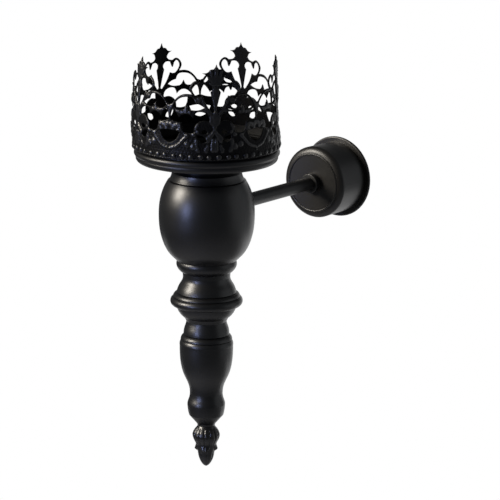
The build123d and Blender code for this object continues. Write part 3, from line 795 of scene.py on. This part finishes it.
def shot_axes():
    """Right, up and forward of the photograph's camera."""
    c, s = math.cos(SHOT_TURN), math.sin(SHOT_TURN)
    right = Vector((c, s, 0))
    forward = Vector((-s * math.cos(SHOT_TILT), c * math.cos(SHOT_TILT), -math.sin(SHOT_TILT)))
    up = right.cross(forward)
    tilted = right * math.cos(SHOT_ROLL) + up * math.sin(SHOT_ROLL)
    return tilted, up * math.cos(SHOT_ROLL) - right * math.sin(SHOT_ROLL), forward


right, up, forward = shot_axes()
lens = bpy.data.cameras.new("shot")
lens.lens = LENS
lens.sensor_width = 36.0
lens.sensor_fit = "HORIZONTAL"
lens.clip_start = 0.05
lens.clip_end = 50.0
camera = bpy.data.objects.new("shot", lens)
bpy.context.scene.collection.objects.link(camera)
eye = (Vector((0, SPINDLE_Y, 0)) - right * SHOT_ASIDE - up * SHOT_ABOVE - forward * SHOT_DISTANCE) * MM
camera.matrix_world = Matrix.Translation(eye) @ Matrix((right, up, -forward)).transposed().to_4x4()
bpy.context.scene.camera = camera


def backdrop_share(tree, behind):
    """1 for camera and transmission rays, and for glossy rays that end on the white behind the holder."""
    path = node(tree, "ShaderNodeLightPath", (-1000, 400))
    glossy = node(tree, "ShaderNodeMath", (-800, 300), operation="MULTIPLY")
    first = node(tree, "ShaderNodeMath", (-600, 400), operation="MAXIMUM")
    second = node(tree, "ShaderNodeMath", (-400, 400), operation="MAXIMUM")
    tree.links.new(path.outputs["Is Glossy Ray"], glossy.inputs[0])
    tree.links.new(behind, glossy.inputs[1])
    tree.links.new(path.outputs["Is Camera Ray"], first.inputs[0])
    tree.links.new(path.outputs["Is Transmission Ray"], first.inputs[1])
    tree.links.new(first.outputs[0], second.inputs[0])
    tree.links.new(glossy.outputs[0], second.inputs[1])
    return second.outputs[0]


def towards(tree, vector, direction, low, high):
    """A smooth rise from 0 to 1 as a vector's share along a direction goes from low to high."""
    dot = node(tree, "ShaderNodeVectorMath", (-1400, 200), operation="DOT_PRODUCT")
    dot.inputs[1].default_value = direction
    tree.links.new(vector, dot.inputs[0])
    rise = node(tree, "ShaderNodeMapRange", (-1200, 200), interpolation_type="SMOOTHSTEP")
    rise.inputs["From Min"].default_value = low
    rise.inputs["From Max"].default_value = high
    tree.links.new(dot.outputs["Value"], rise.inputs["Value"])
    return rise.outputs["Result"]


bpy.context.scene.view_settings.view_transform = "Standard"
world = bpy.data.worlds.new("studio")
bpy.context.scene.world = world
world.use_nodes = True
tree = world.node_tree
dim = tree.nodes["Background"]
dim.inputs["Color"].default_value = (0.9, 0.95, 1.0, 1)
dim.inputs["Strength"].default_value = ROOM_LIGHT
white = node(tree, "ShaderNodeBackground", (-400, 0))
white.inputs["Color"].default_value = (1, 1, 1, 1)
white.inputs["Strength"].default_value = 1.0
sky = node(tree, "ShaderNodeTexCoord", (-1600, 200))
white_side = Matrix.Rotation(BACKDROP_TURN, 3, "Z") @ forward
behind = towards(tree, sky.outputs["Generated"], white_side, BACKDROP_EDGE, BACKDROP_FULL)
mix = node(tree, "ShaderNodeMixShader", (-200, 200))
tree.links.new(backdrop_share(tree, behind), mix.inputs["Fac"])
tree.links.new(dim.outputs[0], mix.inputs[1])
tree.links.new(white.outputs[0], mix.inputs[2])
tree.links.new(mix.outputs[0], tree.nodes["World Output"].inputs["Surface"])


def make_floor():
    """A pale floor far below, lit by the lamps, and brightened to white where it is the background."""
    bpy.ops.mesh.primitive_circle_add(vertices=96, radius=FLOOR_R, fill_type="NGON",
                                      location=(0, SPINDLE_Y * MM, FLOOR_Z))
    floor = bpy.context.object
    floor.name = "floor"
    material = bpy.data.materials.new("floor_white")
    material.use_nodes = True
    tree = material.node_tree
    shader = tree.nodes["Principled BSDF"]
    shader.inputs["Roughness"].default_value = 0.9
    shader.inputs["Specular IOR Level"].default_value = 0.0
    place = node(tree, "ShaderNodeTexCoord", (-1600, 200))
    noise = node(tree, "ShaderNodeTexNoise", (-1000, -200))
    noise.inputs["Scale"].default_value = 3.0
    shade = node(tree, "ShaderNodeMixRGB", (-600, -100))
    shade.inputs["Color1"].default_value = (0.78, 0.78, 0.78, 1)
    shade.inputs["Color2"].default_value = (0.82, 0.82, 0.82, 1)
    tree.links.new(place.outputs["Object"], noise.inputs["Vector"])
    tree.links.new(noise.outputs["Fac"], shade.inputs["Fac"])
    tree.links.new(shade.outputs["Color"], shader.inputs["Base Color"])
    level = Vector((white_side.x, white_side.y, 0)).normalized()
    behind = towards(tree, place.outputs["Object"], level, FLOOR_WHITE_FROM, FLOOR_WHITE_FULL)
    glow = node(tree, "ShaderNodeMath", (-200, 300), operation="MULTIPLY")
    glow.inputs[1].default_value = FLOOR_GLOW
    tree.links.new(backdrop_share(tree, behind), glow.inputs[0])
    shader.inputs["Emission Color"].default_value = (1, 1, 1, 1)
    tree.links.new(glow.outputs[0], shader.inputs["Emission Strength"])
    floor.data.materials.append(material)


make_floor()


def softbox(name, turn, tilt, distance, size, radiance, color):
    """A soft lamp that looks at the spindle, turned from the camera's side and tilted up."""
    lamp = bpy.data.lights.new(name, "AREA")
    lamp.shape = "RECTANGLE"
    lamp.size, lamp.size_y = size
    lamp.energy = radiance * math.pi * size[0] * size[1]
    lamp.color = color
    thing = bpy.data.objects.new(name, lamp)
    bpy.context.scene.collection.objects.link(thing)
    a = SHOT_TURN + math.radians(turn)
    t = math.radians(tilt)
    away = Vector((math.sin(a) * math.cos(t), -math.cos(a) * math.cos(t), math.sin(t)))
    target = Vector((0, SPINDLE_Y * MM, 0))
    thing.location = target + away * distance
    thing.rotation_euler = away.to_track_quat("Z", "Y").to_euler()
    return thing


softbox("key", -80, 27, 1.2, (0.42, 0.5), 24.0, (1.0, 0.93, 0.82))
softbox("window", -50, 4, 1.6, (0.26, 0.4), 20.0, (0.46, 0.55, 1.0))
softbox("fill", 88, 5, 2.2, (2.2, 2.2), 0.3, (0.95, 0.97, 1.0))
